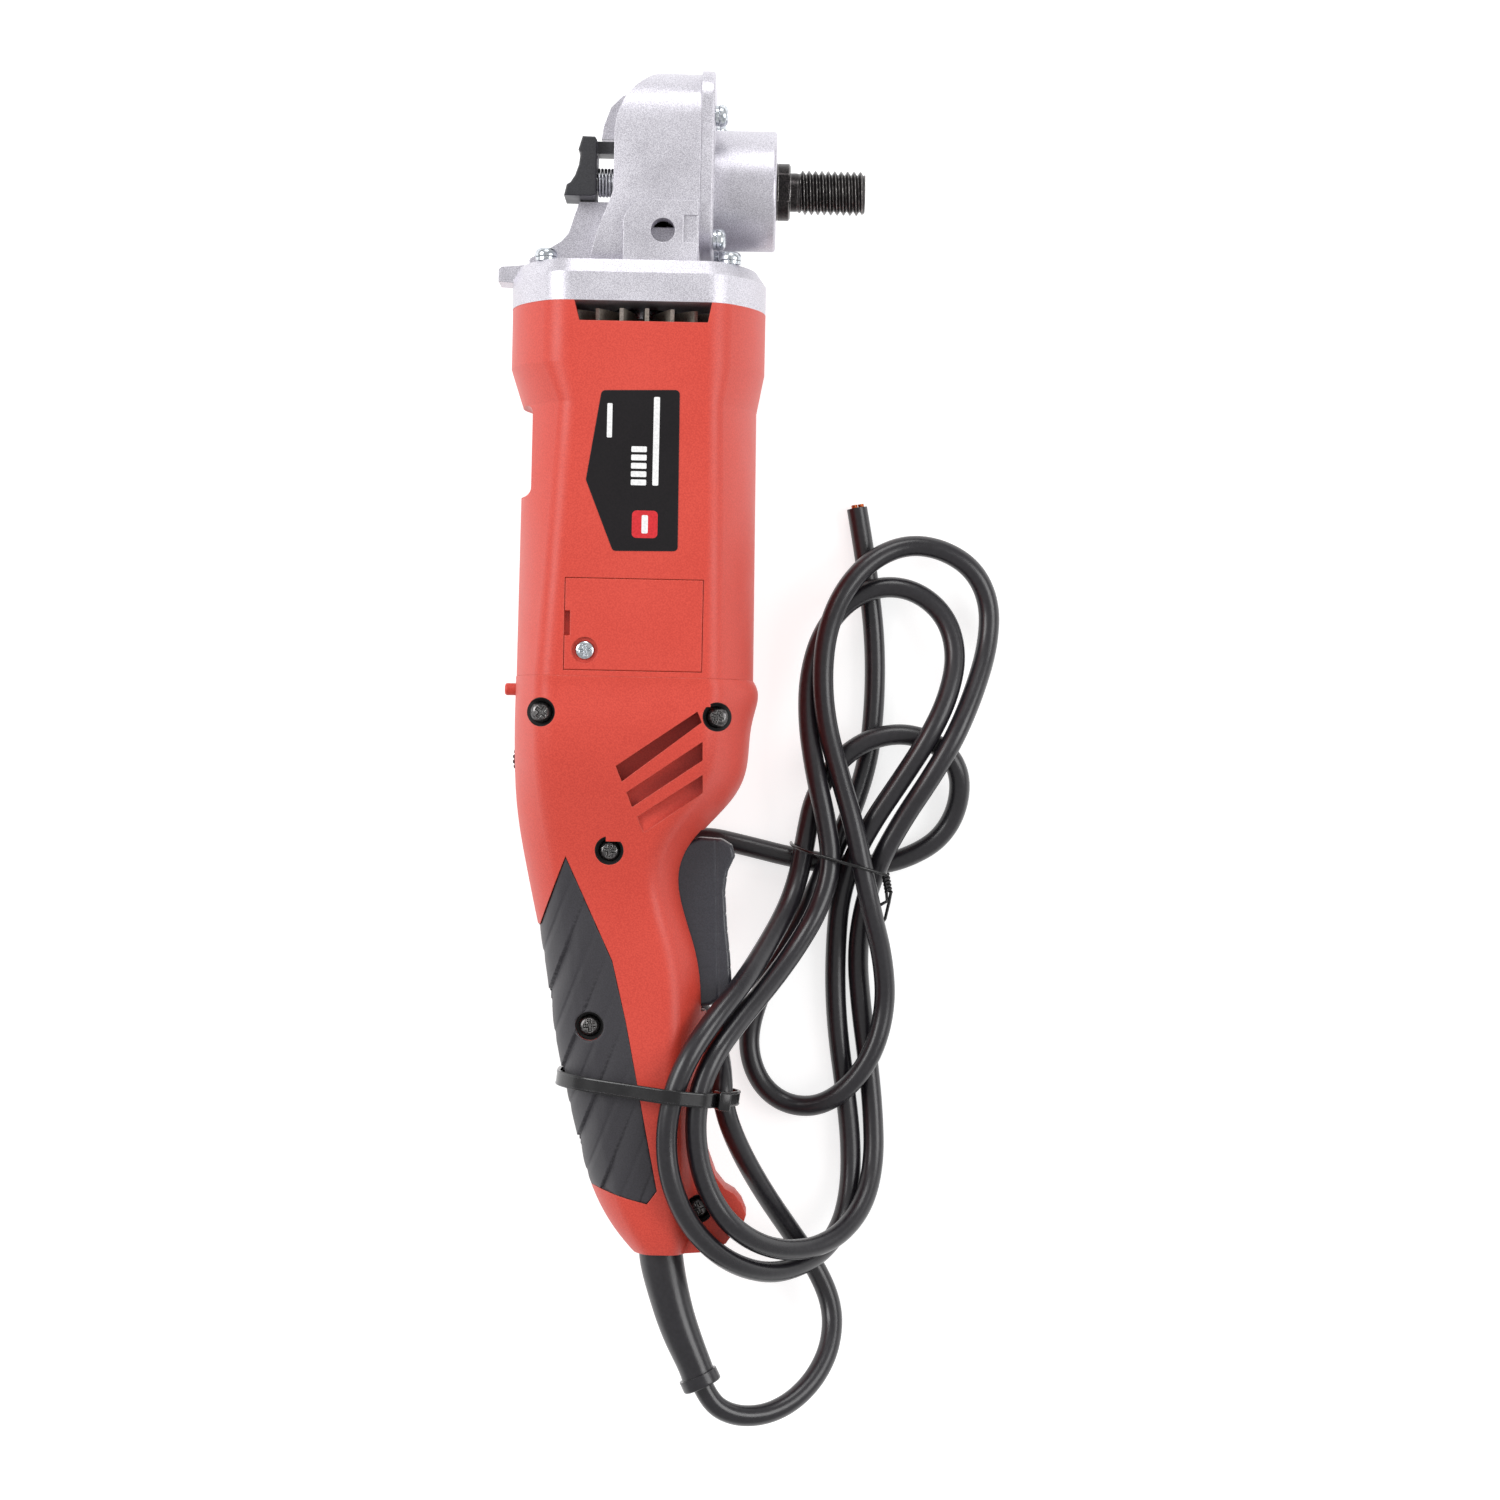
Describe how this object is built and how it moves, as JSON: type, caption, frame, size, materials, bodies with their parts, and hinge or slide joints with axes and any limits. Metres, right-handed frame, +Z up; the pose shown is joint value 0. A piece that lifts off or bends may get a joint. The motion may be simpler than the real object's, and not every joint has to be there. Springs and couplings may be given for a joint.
{
  "type": "rotary polisher",
  "caption": "Corded rotary polisher with a right-angle gear head, threaded spindle, spindle lock, paddle trigger, soft grip and a loose tied cord, lying on its side.",
  "frame": {"origin": "centre of the footprint of the tool without its cord, on the surface the tool lies on", "axes": "+Y towards the gear head, +X along the spindle, +Z up from the surface"},
  "size_m": [0.1844, 0.4846, 0.0821],
  "materials": {
    "cast_aluminium": "grainy as-cast",
    "black_oxide": "black oxide, satin",
    "steel": "ground",
    "gear_steel": "hardened, oiled",
    "zinc": "zinc plated",
    "dark_screw": "blackened",
    "bronze": "sintered",
    "red_plastic": "fine moulded grain",
    "grip_rubber": "soft touch",
    "black_plastic": "moulded",
    "trigger_plastic": "satin",
    "cord_jacket": "smooth PVC",
    "copper": "enamelled wire",
    "laminations": "stacked sheet",
    "carbon": "graphite",
    "brass": "stamped",
    "fan_plastic": "moulded",
    "baffle_plastic": "moulded",
    "board": "laminate with parts",
    "label_film": "printed film",
    "tie_nylon": "nylon"
  },
  "bodies": {
    "housing": {"gear_housing": "cast_aluminium", "gear_cover": "cast_aluminium", "cover_screws": "zinc", "cover_washers": "zinc", "flange_screws": "zinc", "flange_washers": "zinc", "spindle_bearing_outer": "steel", "spindle_bearing_balls": "steel", "spindle_bush": "bronze", "lock_spring": "steel", "front_bearing_outer": "steel", "front_bearing_balls": "steel", "rear_bearing_outer": "steel", "rear_bearing_balls": "steel", "stator_core": "laminations", "field_coils": "copper", "air_baffle": "baffle_plastic", "motor_housing": "red_plastic", "brush_holders": "brass", "carbon_brushes": "carbon", "brush_springs": "steel", "brush_cover_right": "red_plastic", "brush_cover_left": "red_plastic", "brush_cover_screws": "zinc", "name_label": "label_film", "handle_shell_right": "red_plastic", "handle_shell_left": "red_plastic", "handle_screws": "dark_screw", "grip_pad_right": "grip_rubber", "grip_pad_left": "grip_rubber", "trigger_pin": "steel", "trigger_spring": "steel", "switch_body": "black_plastic", "control_board": "board", "dial_axle": "black_plastic", "cord_guard": "cord_jacket", "cord_clamp": "black_plastic", "cord_clamp_screws": "dark_screw", "cord": "cord_jacket", "cord_cores": "copper", "cable_tie": "tie_nylon", "twist_tie": "tie_nylon"},
    "output_spindle": {"spindle": "black_oxide", "crown_gear": "gear_steel", "spindle_bearing_inner": "steel"},
    "armature": {"armature_shaft": "steel", "rotor_core": "laminations", "rotor_windings": "copper", "commutator": "copper", "fan": "fan_plastic", "pinion_gear": "gear_steel", "front_bearing_inner": "steel", "rear_bearing_inner": "steel"},
    "spindle_lock": {"lock_button": "black_plastic", "lock_pin": "steel"},
    "trigger_lever": {"trigger": "trigger_plastic"},
    "dial": {"speed_dial": "black_plastic"},
    "lock_on": {"lock_on_button": "red_plastic"}
  },
  "joints": [
    {"name": "spindle_spin", "type": "hinge", "parent": "housing", "child": "output_spindle", "pos_m": [0, 0.1713, 0.041], "axis": [1, 0, 0], "continuous": true},
    {"name": "armature_spin", "type": "hinge", "parent": "housing", "child": "armature", "pos_m": [-0.0134, 0, 0.041], "axis": [0, 1, 0], "continuous": true},
    {"name": "lock_push", "type": "slide", "parent": "housing", "child": "spindle_lock", "axis": [1, 0, 0], "range_m": [0, 0.0045], "stiffness_N_per_m": 900, "springref_m": -0.004, "deforming": ["lock_spring"]},
    {"name": "trigger_pull", "type": "hinge", "parent": "housing", "child": "trigger_lever", "pos_m": [0.005, -0.118, 0.041], "axis": [0, 0, 1], "range_deg": [0, 6], "stiffness_Nm_per_rad": 0.6, "springref_deg": -17.19},
    {"name": "dial_turn", "type": "hinge", "parent": "housing", "child": "dial", "pos_m": [-0.046, -0.0347, 0.041], "axis": [0, 0, 1], "range_deg": [0, 270]},
    {"name": "lock_on_push", "type": "slide", "parent": "housing", "child": "lock_on", "axis": [1, 0, 0], "range_m": [0, 0.0025], "stiffness_N_per_m": 600, "springref_m": -0.002}
  ],
  "couplings": [
    {"joint": "armature_spin", "follows": "spindle_spin", "ratio": 4}
  ]
}
